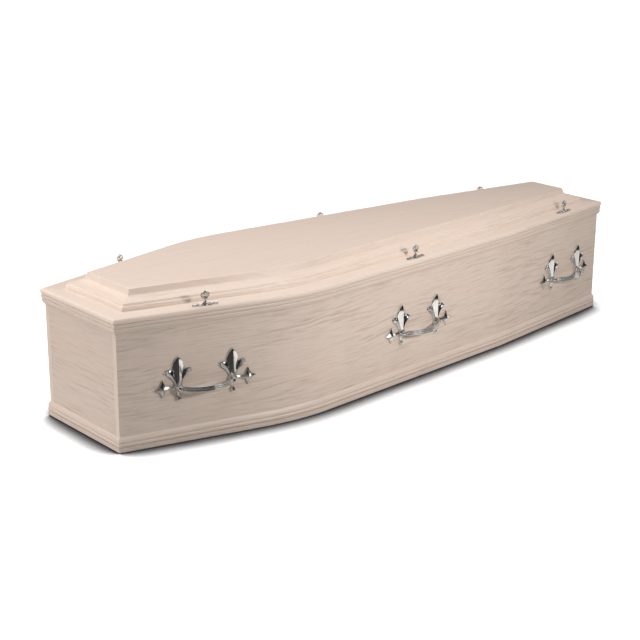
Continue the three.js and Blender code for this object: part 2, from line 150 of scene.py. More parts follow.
# Painted reflection: the floor's colours for mirrored rays alone, grey near the box, pale like paper, dark
# like a room.
FLOOR_PAINTED_REFLECTION = (0.28, 0.272, 0.264)
PAPER_PAINTED_REFLECTION = (0.50, 0.49, 0.475)
ROOM_PAINTED_REFLECTION = (0.03, 0.028, 0.027)
PAINTED_PAPER_FROM_HEAD = (-0.62, -0.45)
PAINTED_PAPER_NEAR_EDGE = (0.36, 0.42)
PAINTED_PAPER_FAR_EDGE = (1.9, 0.9)
PAINTED_SHADE_REACH = 0.125
PAINTED_SHADE_RANGE = (0.50, 0.95)  # from the darkest shade to open floor


def studio_floor():
    mesh = bpy.data.meshes.new("studio_floor")
    corners = [(x * FLOOR_REACH, y * FLOOR_REACH, 0) for x, y in ((-1, -1), (1, -1), (1, 1), (-1, 1))]
    mesh.from_pydata(corners, [], [(0, 1, 2, 3)])
    floor = bpy.data.objects.new("studio_floor", mesh)
    bpy.context.collection.objects.link(floor)
    material = bpy.data.materials.new("studio_floor")
    material.use_nodes = True
    nodes, links = material.node_tree.nodes, material.node_tree.links
    shader = nodes["Principled BSDF"]
    ray = nodes.new("ShaderNodeLightPath")
    # Painted shade: ambient occlusion darkens the colour the camera sees close under the box.
    contact = nodes.new("ShaderNodeAmbientOcclusion")
    contact.samples = 16
    contact.inputs["Distance"].default_value = PAINTED_SHADE_REACH
    clear_of_painted_shade = ranged(nodes, links, contact.outputs["AO"], *PAINTED_SHADE_RANGE)
    seen = mixed(nodes, links, clear_of_painted_shade, FLOOR_PAINTED_CONTACT_SHADE, FLOOR_SEEN)
    # Painted reflection: mirrored rays see grey floor near the box, a pale patch like paper along the
    # sides beyond the middle, and dark like a room past the head and far out.
    spot, place = nodes.new("ShaderNodeTexCoord"), nodes.new("ShaderNodeSeparateXYZ")
    links.new(spot.outputs["Object"], place.inputs[0])
    away = calculated(nodes, links, "ABSOLUTE", place.outputs["Y"], 0.0)
    lit = calculated(
        nodes,
        links,
        "MULTIPLY",
        ranged(nodes, links, place.outputs["X"], *PAINTED_PAPER_FROM_HEAD),
        ranged(nodes, links, away, *PAINTED_PAPER_FAR_EDGE),
    )
    painted_paper = mixed(nodes, links, lit, ROOM_PAINTED_REFLECTION, PAPER_PAINTED_REFLECTION)
    beyond_box = ranged(nodes, links, away, *PAINTED_PAPER_NEAR_EDGE)
    painted_reflection = mixed(nodes, links, beyond_box, FLOOR_PAINTED_REFLECTION, painted_paper)
    unseen = mixed(nodes, links, ray.outputs["Is Glossy Ray"], FLOOR_BOUNCED, painted_reflection)
    colour = mixed(nodes, links, ray.outputs["Is Camera Ray"], unseen, seen)
    links.new(colour, shader.inputs["Base Color"])
    shader.inputs["Roughness"].default_value = 0.9
    shader.inputs["Specular IOR Level"].default_value = 0.0
    mesh.materials.append(material)
    return floor


FLOOR = studio_floor()
print("floor", 2 * FLOOR_REACH, "m wide")

# %% [markdown]
# ## The lights
# The near side is brightest in the middle and its handles throw their shadows down and headward, so a
# small panel stood in front of it. The lid is brightest near the head, so a large one hung above that
# end. Two more stood beyond the head and the foot, and an even, wide light from above fills the rest.
# The floor has a sun of its own, so its white doesn't depend on what lights the wood.

# %% Lights
def lamp(name, kind, place, towards, strength):
    light = bpy.data.lights.new(name, kind)
    light.energy = strength
    stand = bpy.data.objects.new(name, light)
    stand.location = place
    stand.rotation_euler = Vector(towards).to_track_quat("-Z", "Y").to_euler()
    stand.visible_camera = False
    bpy.context.collection.objects.link(stand)
    return stand


def sun(name, strength, spread, towards):
    stand = lamp(name, "SUN", (0, 0, 5), towards, strength)
    stand.data.angle = math.radians(spread)
    stand.visible_glossy = False
    return stand


def light_only(stand, *objects):
    """Light linking: this light falls on nothing else."""
    lit = bpy.data.collections.new(stand.name + "_lights")
    for shown in objects:
        lit.objects.link(shown)
    stand.light_linking.receiver_collection = lit


def soft_panel(name, power, size, place, target):
    stand = lamp(name, "AREA", place, Vector(target) - Vector(place), power)
    stand.data.shape = "RECTANGLE"
    stand.data.size, stand.data.size_y = size
    return stand


def studio_world():
    world = bpy.data.worlds.new("studio")
    world.use_nodes = True
    nodes, links = world.node_tree.nodes, world.node_tree.links
    direction = nodes.new("ShaderNodeTexCoord")
    height = nodes.new("ShaderNodeSeparateXYZ")
    ramp = nodes.new("ShaderNodeValToRGB")
    links.new(direction.outputs["Generated"], height.inputs[0])
    links.new(height.outputs["Z"], ramp.inputs["Fac"])
    ramp.color_ramp.elements[0].position = 0.35
    ramp.color_ramp.elements[0].color = (0.03, 0.03, 0.032, 1)
    ramp.color_ramp.elements[1].position = 0.95
    ramp.color_ramp.elements[1].color = (0.26, 0.26, 0.27, 1)
    links.new(ramp.outputs["Color"], nodes["Background"].inputs["Color"])
    bpy.context.scene.world = world


studio_world()
light_only(sun("floor_light", 1.7, 16, (0, 0, -1)), FLOOR)
WOOD_LIGHTS = [
    sun("overhead_light", 1.3, 50, (0.03, 0.06, -1)),
    soft_panel("side_panel_light", 20.5, (0.22, 0.2), (0.16, -1.8, 0.9), (0.05, -0.25, 0.2)),
    soft_panel("head_overhead_light", 29, (1.5, 1.5), (-1.0, 0.8, 2.4), (-0.5, 0.0, 0.3)),
    soft_panel("head_end_light", 41, (1.4, 1.4), (-3.2, 0.5, 0.8), (-0.96, 0.0, 0.2)),
    soft_panel("foot_end_light", 5.5, (2.0, 1.6), (3.2, -0.6, 0.9), (0.8, -0.2, 0.2)),
]

# %% [markdown]
# ## The plan of the box
# Each long side is one board, kerf-bent at the shoulder and, less, at the knee. A moulding or a lid
# edge follows the same plan a little further out or in. One function gives that path at any distance
# from the board's face, so every strip drawn with it is parallel to the wall, and its corners mitre
# by themselves.

# %% Plan and levels
HEAD_HALF_WIDTH = 0.172
SHOULDER_HALF_WIDTH = 0.297
KNEE_HALF_WIDTH = 0.224
FOOT_HALF_WIDTH = 0.145
SHOULDER_FROM_HEAD = 0.504
KNEE_FROM_FOOT = 0.540
SHOULDER_RADIUS = 0.7
KNEE_RADIUS = 0.5
WALL = 0.016

HALF_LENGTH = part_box("side_board_right")[1][0]
BASE_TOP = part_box("base_board")[1][2]
WALL_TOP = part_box("side_board_right")[1][2]
BORDER_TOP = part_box("lid_border")[1][2]
FRAME_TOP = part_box("lid_frame_head")[1][2]
PANEL_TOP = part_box("lid_panel")[1][2]

CORNERS = [
    Vector((-HALF_LENGTH, -HEAD_HALF_WIDTH)),
    Vector((-HALF_LENGTH + SHOULDER_FROM_HEAD, -SHOULDER_HALF_WIDTH)),
    Vector((HALF_LENGTH - KNEE_FROM_FOOT, -KNEE_HALF_WIDTH)),
    Vector((HALF_LENGTH, -FOOT_HALF_WIDTH)),
]
ALONG = [(b - a).normalized() for a, b in zip(CORNERS, CORNERS[1:])]
OUTWARDS = [Vector((a.y, -a.x)) for a in ALONG]


def face_y(stretch, out, x):
    start = CORNERS[stretch] + OUTWARDS[stretch] * out
    return start.y + (x - start.x) * ALONG[stretch].y / ALONG[stretch].x


def bend(stretch, radius, facets, out):
    before, after = OUTWARDS[stretch], OUTWARDS[stretch + 1]
    spread = (before + after) / (1 + before.dot(after))
    centre = CORNERS[stretch + 1] - spread * radius
    first = math.atan2(before.y, before.x)
    turn = math.atan2(after.y, after.x) - first
    angles = [first + turn * i / facets for i in range(facets + 1)]
    return [centre + Vector((math.cos(a), math.sin(a))) * (radius + out) for a in angles]


def side_path(out, end_out=None):
    """The right side from head to foot, at a distance outside the faces of the box."""
    end_out = out if end_out is None else end_out
    head_x, foot_x = -HALF_LENGTH - end_out, HALF_LENGTH + end_out
    return [
        Vector((head_x, face_y(0, out, head_x))),
        *bend(0, SHOULDER_RADIUS, 20, out),
        *bend(1, KNEE_RADIUS, 8, out),
        Vector((foot_x, face_y(2, out, foot_x))),
    ]


def mirrored(points):
    return [Vector((p.x, -p.y)) for p in reversed(points)]


def end_path(out, end):
    corner = side_path(out)[0 if end == "head" else -1]
    path = [corner, Vector((corner.x, -corner.y))]
    return path[::-1] if end == "head" else path


PLACES = ("right", "left", "head", "foot")


def path_of(place):
    """The path function of one of the four sides of the plan, each run anticlockwise from above."""
    return {
        "right": side_path,
        "left": lambda out: mirrored(side_path(out)),
        "head": lambda out: end_path(out, "head"),
        "foot": lambda out: end_path(out, "foot"),
    }[place]


print("box", round(2 * HALF_LENGTH, 3), "long, lid at", round(PANEL_TOP, 3))

# %% [markdown]
# ## Skins with a grain direction
# A strip of moulding is a profile swept along a path. The mesh is built ring by ring, and each corner
# of each face gets a UV in metres: U runs along the board and V across it. The wood material reads
# that UV, so its grain follows a board round a bend as real veneer does. Every piece starts at its own
# place in the pattern, so no two boards look alike.

# %% Skin builder
pieces_made = {}


def new_piece(name, points, faces, uvs, materials, smooth_angle=35, slots=None):
    mesh = bpy.data.meshes.new(name)
    mesh.from_pydata([tuple(p) for p in points], [], faces)
    layer = mesh.uv_layers.new(name="grain")
    for polygon, face_uvs in zip(mesh.polygons, uvs):
        for loop, uv in zip(polygon.loop_indices, face_uvs):
            layer.data[loop].uv = uv
    for material in materials:
        mesh.materials.append(material)
    if slots:
        mesh.polygons.foreach_set("material_index", slots)
    mesh.validate()
    mesh.shade_smooth()
    mesh.set_sharp_from_angle(angle=math.radians(smooth_angle))
    piece = bpy.data.objects.new(name, mesh)
    bpy.context.collection.objects.link(piece)
    pieces_made[name] = piece
    return piece


def dress(piece, slot, *nodes):
    """The piece rides on the coffin and stands for these CAD nodes. The slot is not used."""
    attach(piece, "root")
    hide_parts(*nodes)
    return piece


def running_lengths(points):
    lengths = [0.0]
    for a, b in zip(points, points[1:]):
        lengths.append(lengths[-1] + (b - a).length)
    return lengths


def swept(name, path, profile, materials, start, end_place=None):
    """A profile of (distance outside the wall, height) swept along a path, with closed ends. Its first
    face takes the first material, its other faces and its ends the last one."""
    paths = [path(out) for out, _ in profile]
    count, stations = len(profile), len(paths[0])
    points = [Vector((*paths[i][s], profile[i][1])) for s in range(stations) for i in range(count)]
    along = running_lengths(path(0.0))
    across = running_lengths([Vector(p) for p in profile + profile[:1]])
    last = len(materials) - 1
    faces, uvs, slots = [], [], []
    for s in range(stations - 1):
        u0, u1 = along[s] + start, along[s + 1] + start
        for i in range(count):
            j = (i + 1) % count
            faces.append((s * count + i, (s + 1) * count + i, (s + 1) * count + j, s * count + j))
            uvs.append([(u0, across[i]), (u1, across[i]), (u1, across[i + 1]), (u0, across[i + 1])])
            slots.append(0 if i == 0 else last)
    for ring, order in ((0, 1), (stations - 1, -1)):
        u, v = end_place or (start, ring)
        faces.append([ring * count + i for i in range(count)][::order])
        uvs.append([(height + u, out + v) for out, height in profile][::order])
        slots.append(last)
    return new_piece(name, points, faces, uvs, materials, slots=slots)


def strip(name, place, profile, material, start):
    """A moulding along one side of the plan."""
    return swept(name, path_of(place), profile, [material], start)


def bezier(a, b, c, d, steps):
    """Points on a Bezier curve, its last end left out."""
    found = []
    for i in range(steps):
        t = i / steps
        weights = ((1 - t) ** 3, 3 * t * (1 - t) ** 2, 3 * t * t * (1 - t), t**3)
        found.append(tuple(sum(w * p[k] for w, p in zip(weights, (a, b, c, d))) for k in (0, 1)))
    return found


# %% [markdown]
# ## Limed oak
# The wood is pale oak rubbed with white wax: the ground is a warm grey-beige with pinkish clouds, the
# grain shows as fine, slightly wandering darker streaks, and the pores as short dashes. The same
# pattern is needed on boards, mouldings and the lid in different strengths, so it is one node group
# that gives masks and a height. Noise stretched along the board makes the streaks; a slower noise
# bends them, which draws the flame shapes.

# %% The grain group
def socket(group, name, kind, way="INPUT", value=None):
    made = group.interface.new_socket(name=name, in_out=way, socket_type=kind)
    if value is not None:
        made.default_value = value
    return made


def scaled_noise(nodes, links, source, scale, detail, roughness=0.55, distortion=0.0):
    mapping = nodes.new("ShaderNodeMapping")
    mapping.inputs["Scale"].default_value = scale
    noise = nodes.new("ShaderNodeTexNoise")
    noise.inputs["Scale"].default_value = 1
    noise.inputs["Detail"].default_value = detail
    noise.inputs["Roughness"].default_value = roughness
    noise.inputs["Distortion"].default_value = distortion
    links.new(source, mapping.inputs["Vector"])
    links.new(mapping.outputs["Vector"], noise.inputs["Vector"])
    return noise.outputs["Fac"]


def limed_grain_group():
    group = bpy.data.node_groups.new("limed grain", "ShaderNodeTree")
    socket(group, "Board", "NodeSocketVector")
    for name in ("Streaks", "Pores", "Clouds", "Height"):
        socket(group, name, "NodeSocketFloat", "OUTPUT")
    nodes, links = group.nodes, group.links
    board = nodes.new("NodeGroupInput").outputs["Board"]
    wander = scaled_noise(nodes, links, board, (3, 9, 1), 2)
    shift = nodes.new("ShaderNodeCombineXYZ")
    links.new(calculated(nodes, links, "MULTIPLY", wander, 0.035), shift.inputs["Y"])
    bent = nodes.new("ShaderNodeVectorMath")
    links.new(board, bent.inputs[0])
    links.new(shift.outputs[0], bent.inputs[1])
    bent = bent.outputs["Vector"]
    broad = ranged(nodes, links, scaled_noise(nodes, links, bent, (8, 150, 1), 3, 0.6, 0.2), 0.44, 0.68)
    fine = ranged(nodes, links, scaled_noise(nodes, links, bent, (16, 230, 1), 3, 0.6), 0.46, 0.70)
    where = ranged(nodes, links, scaled_noise(nodes, links, board, (2.2, 9, 1), 2), 0.38, 0.62)
    broad = calculated(nodes, links, "MULTIPLY", broad, calculated(nodes, links, "ADD", where, 0.35))
    streaks = calculated(nodes, links, "ADD", broad, calculated(nodes, links, "MULTIPLY", fine, 0.6))
    pores = ranged(nodes, links, scaled_noise(nodes, links, bent, (48, 900, 1), 1), 0.62, 0.72)
    clouds = ranged(nodes, links, scaled_noise(nodes, links, board, (1.9, 6.5, 1), 3, 0.6), 0.5, 0.78)
    height = calculated(nodes, links, "ADD", streaks, calculated(nodes, links, "MULTIPLY", pores, 0.8))
    out = nodes.new("NodeGroupOutput")
    for name, value in (("Streaks", streaks), ("Pores", pores), ("Clouds", clouds), ("Height", height)):
        links.new(value, out.inputs[name])
    return group


LIMED_GRAIN = limed_grain_group()
print("grain puts out", [s.name for s in LIMED_GRAIN.interface.items_tree if s.in_out == "OUTPUT"])

# %% [markdown]
# ## The oak finishes
# The same veneer shows a bolder figure on the sides than on the lid, and cut edges show next to none.
# One finish with a picture of wood would repeat on every board. Here each finish takes the grain's
# masks and mixes its own strengths of streak, pore and pink cloud over one pale ground, and the
# grain's height gives the wax film a slight tooth. The end boards keep their CAD mesh, which has no UV
# map, so their grain is laid over the object's own coordinates and turned to run across.

# %% The finishes
OAK_PALE = (0.64, 0.524, 0.444)
OAK_STREAK = (0.40, 0.305, 0.243)
OAK_PINK = (0.69, 0.50, 0.405)


def limed_oak(name, tone_and_painted_light, figure, pink, grain_from="UV", turn=(0, 0, 0), gloss=0.42):
    """A finish: how light it is, partly painted light; how strongly its streaks show; how pink its clouds
    are.
    """
    material = bpy.data.materials.new(name)
    material.use_nodes = True
    nodes, links = material.node_tree.nodes, material.node_tree.links
    shader = nodes["Principled BSDF"]
    if grain_from == "UV":
        board = nodes.new("ShaderNodeUVMap")
        board.uv_map = "grain"
        board = board.outputs["UV"]
    else:
        place = nodes.new("ShaderNodeTexCoord")
        turned = nodes.new("ShaderNodeMapping")
        turned.inputs["Rotation"].default_value = turn
        links.new(place.outputs["Object"], turned.inputs["Vector"])
        board = turned.outputs["Vector"]
    grain = nodes.new("ShaderNodeGroup")
    grain.node_tree = LIMED_GRAIN
    links.new(board, grain.inputs["Board"])
    pale = tuple(c * tone_and_painted_light for c in OAK_PALE)
    streak = tuple(c * tone_and_painted_light for c in OAK_STREAK)
    rosy = tuple(c * tone_and_painted_light for c in OAK_PINK)
    streaks = calculated(nodes, links, "MULTIPLY", grain.outputs["Streaks"], figure)
    clouds = calculated(nodes, links, "MULTIPLY", grain.outputs["Clouds"], pink)
    pores = calculated(nodes, links, "MULTIPLY", grain.outputs["Pores"], 0.5 * figure)
    colour = mixed(nodes, links, clouds, pale, rosy)
    colour = mixed(nodes, links, streaks, colour, streak)
    colour = mixed(nodes, links, pores, colour, streak)
    links.new(colour, shader.inputs["Base Color"])
    sheen = calculated(nodes, links, "MULTIPLY", grain.outputs["Streaks"], 0.12)
    links.new(calculated(nodes, links, "ADD", sheen, gloss), shader.inputs["Roughness"])
    bump = nodes.new("ShaderNodeBump")
    bump.invert = True
    bump.inputs["Strength"].default_value = 0.35
    bump.inputs["Distance"].default_value = 0.0005
    links.new(grain.outputs["Height"], bump.inputs["Height"])
    links.new(bump.outputs["Normal"], shader.inputs["Normal"])
    return material


# The lightness of each finish is partly the oak's own tone and partly painted light: the lid and its frame
# are made lighter, as the top catches more light, and the end boards darker than the sides.
OAK_SIDE = limed_oak("limed oak, sides", 1.0, 0.44, 0.34)
OAK_END = limed_oak("limed oak, ends", 0.94, 0.30, 0.25, "OBJECT", (0, math.pi / 2, math.pi / 2))
OAK_LID = limed_oak("limed oak, lid", 1.12, 0.15, 0.22)
OAK_FRAME = limed_oak("limed oak, lid frame", 1.12, 0.26, 0.30)
OAK_MOULDING = limed_oak("limed oak, mouldings", 1.0, 0.20, 0.35)
OAK_BASE = limed_oak("limed oak, base", 0.98, 0.2, 0.3)
OAK_EDGE = limed_oak("limed oak, cut edges", 1.02, 0.12, 0.1)
print("finishes", len(bpy.data.materials))

# %% [markdown]
# ## The boards of the box
# The sides are bent boards that run the full length and cover the ends' edges, which shows as a
# narrow upright strip at each corner. They are swept like the mouldings, with a fine arc at the
# shoulder where the CAD model has a few flats, so light rolls over the bend without a break. The end
# boards are flat and their CAD shape is right: they stay and only get their finish.

# %% Sides and ends
SIDE_GRAIN_START = {"right": 0.0, "left": 3.7}
CUT_END_GRAIN = (9, 0)


def side_board(place):
    def path(out):
        right = side_path(out, 0)
        return right if place == "right" else mirrored(right)

    profile = [(0.0, BASE_TOP), (0.0, WALL_TOP), (-WALL, WALL_TOP), (-WALL, BASE_TOP)]
    finishes = [OAK_SIDE, OAK_EDGE]
    board = swept("bent_side_" + place, path, profile, finishes, SIDE_GRAIN_START[place], CUT_END_GRAIN)
    return dress(board, "oak_boards", "side_board_" + place)


def finish_node(name, material):
    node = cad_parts[name]
    node.data.materials.clear()
    node.data.materials.append(material)


for place in ("right", "left"):
    side_board(place)
for end in ("head", "foot"):
    finish_node("end_board_" + end, OAK_END)
print("sides", sorted(pieces_made))

# %% [markdown]
# ## The base board
# The box stands on a base board that shows as a thin band below the moulding, with its lower edge
# rounded so that it doesn't splinter when the coffin is slid. A bevel on the CAD board would need a
# changed mesh. A stack of outlines of the plan, each a little further out and up, gives the rounding
# exactly, follows the bends, and serves the lid's panel as well.

# %% Base board
FLAT_GRAIN_START = 140
BASE_OUT = 0.0055
BASE_ROUND = 0.0045
ARRIS_STEPS = 6


def layered_board(name, levels, material):
    """A board that follows the plan, from levels given as (distance outside the walls, height)."""
    rings = []
    for out, height in levels:
        right = side_path(out)
        rings.append([Vector((p.x, p.y, height)) for p in right + mirrored(right)])
    count = len(rings[0])
    points = [p for ring in rings for p in ring]
    faces = []
    for r in range(len(rings) - 1):
        for i in range(count):
            j = (i + 1) % count
            faces.append((r * count + i, r * count + j, (r + 1) * count + j, (r + 1) * count + i))
    faces.append([(len(rings) - 1) * count + i for i in range(count)])
    faces.append(list(range(count))[::-1])
    uvs = [[(points[v].x + FLAT_GRAIN_START, points[v].y - points[v].z) for v in face] for face in faces]
    return new_piece(name, points, faces, uvs, [material], smooth_angle=50)


def quarter_round(radius):
    """Pairs of (distance short of the edge, distance short of the top) round an eased arris."""
    angles = [math.pi / 2 * i / ARRIS_STEPS for i in range(ARRIS_STEPS + 1)]
    return [(radius * (1 - math.cos(a)), radius * (1 - math.sin(a))) for a in angles]


base_levels = [(BASE_OUT - back, down) for back, down in reversed(quarter_round(BASE_ROUND))]
base = layered_board("base_board_rounded", base_levels + [(BASE_OUT, BASE_TOP)], OAK_BASE)
dress(base, "oak_mouldings", "base_board")
print("boards", sorted(pieces_made))

# %% [markdown]
# ## Mouldings
# One router cutter makes both mouldings: a reed next to the board's edge, a narrow quirk and a bead
# that dies into the wall. Under the lid the reed is uppermost; round the base the strip is turned over
# and stands out a little less. The curves are drawn as two Bezier curves.

# %% Plinth and cornice mouldings
REED = 0.0115
MOULDING = 0.0285
PLINTH_OUT = 0.006
CORNICE_OUT = 0.008


def moulding_profile(out, start, way):
    """A moulding's section, upwards (way 1) or downwards (way -1) from the height of its start."""
    quirk, bead_end = (0.6 * out, REED), (0.1 * out, MOULDING)
    swell = REED + 0.66 * (MOULDING - REED)
    curve = bezier((0.45 * out, 0), (1.18 * out, 0.0), (1.18 * out, REED), quirk, 9)
    curve += bezier(quirk, (1.08 * out, REED), (1.02 * out, swell), bead_end, 11)
    curve += [bead_end, (0.0, MOULDING), (0.0, 0.0)]
    profile = [(o, start + way * h) for o, h in curve]
    return profile if way > 0 else profile[::-1]


ROWS = {"plinth": (PLINTH_OUT, BASE_TOP, 1), "cornice": (CORNICE_OUT, WALL_TOP, -1)}
for row, shape in ROWS.items():
    for i, place in enumerate(PLACES):
        made = strip(f"{row}_reeded_{place}", place, moulding_profile(*shape), OAK_MOULDING, 11.3 * i + 5)
        dress(made, "oak_mouldings", f"{row}_moulding_{place}")
print("mouldings", sum("_reeded_" in name for name in pieces_made))

# %% [markdown]
# ## The lid
# The lid's border is a flat board all round with a softly rounded nose, and on it stands a mitred
# frame: an upright step with a rolled ledge, a second fine step, then a hollow slope up to the raised
# panel. The border is drawn as four strips in one mesh, so the grain turns at the corners as it does
# on a mitred board.

# %% Border
BORDER_OUT = 0.0097
BORDER_IN = 0.074


def border_profile():
    thick = BORDER_TOP - WALL_TOP
    foot, brow = (BORDER_OUT - 0.0030, 0), (BORDER_OUT - 0.005, thick)
    nose = bezier(foot, (BORDER_OUT + 0.0008, 0.0012), (BORDER_OUT + 0.0012, thick), brow, 12)
    profile = [(out, WALL_TOP + height) for out, height in [*nose, brow]]
    return profile + [(-BORDER_IN, BORDER_TOP), (-BORDER_IN, WALL_TOP)]


def joined_piece(name, parts, materials):
    """Several meshes as one piece."""
    points, faces, uvs = [], [], []
    for part in parts:
        mesh = part.data
        first = len(points)
        points += [v.co.copy() for v in mesh.vertices]
        layer = mesh.uv_layers["grain"].data
        for polygon in mesh.polygons:
            faces.append([first + v for v in polygon.vertices])
            uvs.append([tuple(layer[loop].uv) for loop in polygon.loop_indices])
        del pieces_made[part.name]
        bpy.data.objects.remove(part)
    return new_piece(name, points, faces, uvs, materials)


border_parts = [
    strip(f"border_{place}", place, border_profile(), OAK_LID, 7.1 * i + 50)
    for i, place in enumerate(PLACES)
]
dress(joined_piece("lid_border_board", border_parts, [OAK_LID]), "oak_lid", "lid_border")
print("border", len(border_parts), "strips in one piece")

# %% [markdown]
# ## The stepped frame
# The frame's section is drawn from the border up: a riser that leans in a little, a rolled ledge, the
# small second step and the hollow slope, which is a long cove. Only its back, hidden under the panel,
# is square. The four strips meet in mitres.

# %% Stepped frame
STEP_IN = 0.043
STEP_UP = 0.0095
LEDGE = 0.008
LEDGE_UP = 0.003
SECOND_STEP_UP = 0.0055
SLOPE = 0.036
SEAT = 0.013


def frame_profile():
    up = FRAME_TOP - BORDER_TOP
    ledge_in, ledge_top = STEP_IN + LEDGE, STEP_UP + LEDGE_UP
    slope_foot, panel_in = ledge_top + SECOND_STEP_UP, STEP_IN + LEDGE + SLOPE
    curve = [(STEP_IN, 0.0)]
    curve += bezier(
        (STEP_IN + 0.0004, 0.25 * STEP_UP),
        (STEP_IN + 0.0014, 1.0 * STEP_UP),
        (ledge_in - 0.6 * LEDGE, ledge_top),
        (ledge_in, ledge_top),
        9,
    )
    riser = [(ledge_in + 0.0016, slope_foot - 0.0008), (ledge_in + 0.0024, slope_foot)]
    curve += [(ledge_in, ledge_top), *riser]
    rise = up - slope_foot
    curve += bezier(
        (ledge_in + 0.0034, slope_foot + 0.0002),
        (ledge_in + 0.45 * SLOPE, slope_foot + 0.18 * rise),
        (ledge_in + 0.75 * SLOPE, slope_foot + 0.6 * rise),
        (panel_in, up),
        9,
    )
    curve += [(panel_in, up), (panel_in + SEAT, up), (panel_in + SEAT, 0.0)]
    return [(-inset, BORDER_TOP + h) for inset, h in curve]


for i, place in enumerate(PLACES):
    made = strip(f"lid_frame_stepped_{place}", place, frame_profile(), OAK_FRAME, 6.3 * i + 90)
    dress(made, "oak_lid", f"lid_frame_{place}")
print("frame rises", round(FRAME_TOP - BORDER_TOP, 4))

# %% [markdown]
# ## The raised panel
# The panel is one wide veneered board. Its edge leans in a little all round and its arris is eased, so
# it catches one thin line of light. Its skin is a stack of outlines, each a little further in and up,
# and one flat face on top, whose grain runs from head to foot.

# %% Raised panel
PANEL_IN = STEP_IN + LEDGE + SLOPE
PANEL_LEAN = 0.0045
PANEL_ROUND = 0.003


def raised_panel():
    levels = [(-PANEL_IN, FRAME_TOP)]
    for back, down in quarter_round(PANEL_ROUND):
        levels.append((-PANEL_IN - PANEL_LEAN - back, PANEL_TOP - down))
    return dress(layered_board("raised_panel", levels, OAK_LID), "oak_lid", "lid_panel")


raised_panel()
print("lid pieces", [n for n in pieces_made if "lid" in n or "panel" in n])

# %% [markdown]
# ## Polished nickel
# The fittings are zinc castings with a bright nickel plate. On a mirror-like metal the form does most
# of the work, so the finish is simple: nearly smooth, faintly warm, with soft casting waves in the
# normal and a little more roughness where fingers and polish leave a haze.

# %% Nickel
NICKEL_CLEAN = (0.80, 0.785, 0.76)
NICKEL_HAZED = (0.72, 0.70, 0.67)
POLISH = 0.07  # roughness where the metal is clean


def polished_nickel(name, haze, waves):
    material = bpy.data.materials.new(name)
    material.use_nodes = True
    nodes, links = material.node_tree.nodes, material.node_tree.links
    shader = nodes["Principled BSDF"]
    shader.inputs["Metallic"].default_value = 1
    place = nodes.new("ShaderNodeTexCoord").outputs["Object"]
    smear = ranged(nodes, links, scaled_noise(nodes, links, place, (60, 60, 60), 3), 0.35, 0.75)
    links.new(mixed(nodes, links, smear, NICKEL_CLEAN, NICKEL_HAZED), shader.inputs["Base Color"])
    rough = calculated(nodes, links, "MULTIPLY", smear, haze)
    links.new(calculated(nodes, links, "ADD", rough, POLISH), shader.inputs["Roughness"])
    bump = nodes.new("ShaderNodeBump")
    bump.inputs["Strength"].default_value = waves
    bump.inputs["Distance"].default_value = 0.0006
    links.new(scaled_noise(nodes, links, place, (260, 260, 260), 2), bump.inputs["Height"])
    links.new(bump.outputs["Normal"], shader.inputs["Normal"])
    return material


NICKEL = polished_nickel("polished nickel", 0.10, 0.25)
print("finishes", len(bpy.data.materials))

# %% [markdown]
# ## Curves through stops
# Cast ornament swells and tapers without corners. Drawing it point by point would take hundreds of
# numbers. A few stops, each with its place and its width or height, are enough when a smooth curve
# runs through all of them, whatever they measure.

# %% Smooth curves
def smooth_stops(stops, steps):
    """Points on a Catmull-Rom curve through stops of any dimension."""
    padded = [stops[0], *stops, stops[-1]]
    found = []
    for k in range(1, len(padded) - 2):
        p0, p1, p2, p3 = (padded[k + d] for d in (-1, 0, 1, 2))
        for i in range(steps):
            t = i / steps
            spot = []
            for a, b, c, d in zip(p0, p1, p2, p3):
                square, cube = 2 * a - 5 * b + 4 * c - d, 3 * b - a - 3 * c + d
                spot.append(0.5 * (2 * b + (c - a) * t + square * t * t + cube * t**3))
            found.append(spot)
    found.append(list(stops[-1]))
    return found


print("curve through three stops", len(smooth_stops([(0, 0), (1, 2), (2, 0)], 4)), "points")

# %% [markdown]
# ## Cast relief
# The castings are built of a few kinds of form. A petal or a stem has a ridge down its middle and
# hollow flanks: a ridged section swept along a curve. A large leaf is cut from a ridged roof instead,
# so each flank faces one way and mirrors one tone, as in the photograph. Turned forms, such as the
# boss and its ball, are profiles spun round an axis, and ropes are round rods along a line. Sculpting
# would be looser and heavier. A casting gathers such shells in one mesh, in millimetres on the plate,
# with the wall at height 0.

# %% Casting helpers
MM = 0.001
RIDGE = [(-1, 0), (-1, 0.26), (-0.9, 0.4), (-0.55, 0.52), (-0.22, 0.74), (0, 1)]
RIDGE += [(-a, b) for a, b in RIDGE[-2::-1]]
FLAT = [(-1, 0), (-1, 0.7), (-0.8, 1), (0, 1.1), (0.8, 1), (1, 0.7), (1, 0)]
ROOF = (-1, -1, -0.94, -0.7, -0.45, -0.2, 0, 0.2, 0.45, 0.7, 0.94, 1, 1)
ROOF_FALL = 0.72  # how steeply a leaf's flank falls from its ridge
ROOF_HOLLOW = 0.013  # how much it flattens out again
ROOF_EDGE = 1.2  # the least thickness at its edge
EDGE_EASE = 0.55  # the share of it where the edge turns down


